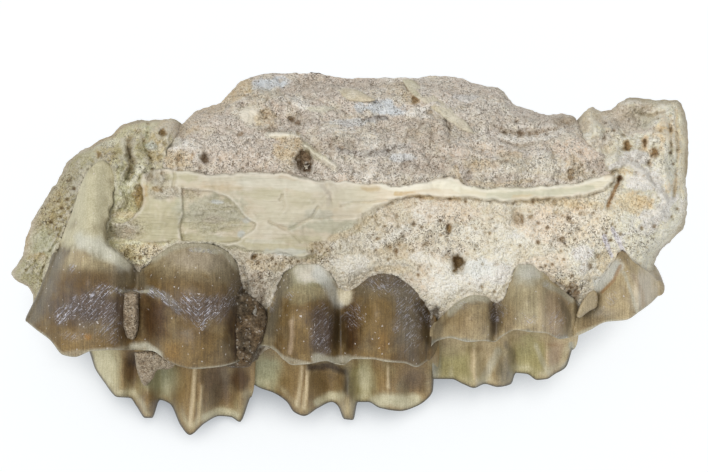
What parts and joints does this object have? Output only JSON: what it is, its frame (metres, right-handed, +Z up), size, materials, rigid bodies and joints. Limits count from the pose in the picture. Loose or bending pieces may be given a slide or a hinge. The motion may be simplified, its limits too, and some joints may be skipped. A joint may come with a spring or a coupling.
{
  "type": "fossil oreodont jaw section",
  "caption": "Section of a fossil left upper jaw with molars and a broken premolar, rock still in its upper hollow, lying on its worn cheek side.",
  "frame": {"origin": "middle of the bounding box, on the surface that the jaw lies on", "axes": "+X along the tooth row from the rear molar to the premolar, +Y from the tooth tips to the upper edge, +Z up from the worn cheek side to the tongue side"},
  "size_m": [0.0684, 0.0334, 0.0232],
  "materials": {
    "jaw_bone": "mineralised bone, cream to greenish grey, matte and porous, smoother on the broken palate shelf",
    "rock_matrix": "pinkish grey siltstone, matte and grainy",
    "dark_enamel": "dark olive brown enamel, glossy, with fine upright striae and pale worn rims",
    "light_enamel": "olive tan enamel, glossy, with pale worn rims",
    "bone_sliver": "smooth greenish cream bone"
  },
  "bodies": {
    "root": {"maxilla": "jaw_bone", "matrix": "rock_matrix", "molar_3": "dark_enamel", "molar_2": "dark_enamel", "molar_1": "light_enamel", "premolar_4": "light_enamel", "premolar_chip": "light_enamel", "bone_sliver_oval": "bone_sliver", "bone_sliver_slab": "bone_sliver"}
  },
  "joints": []
}
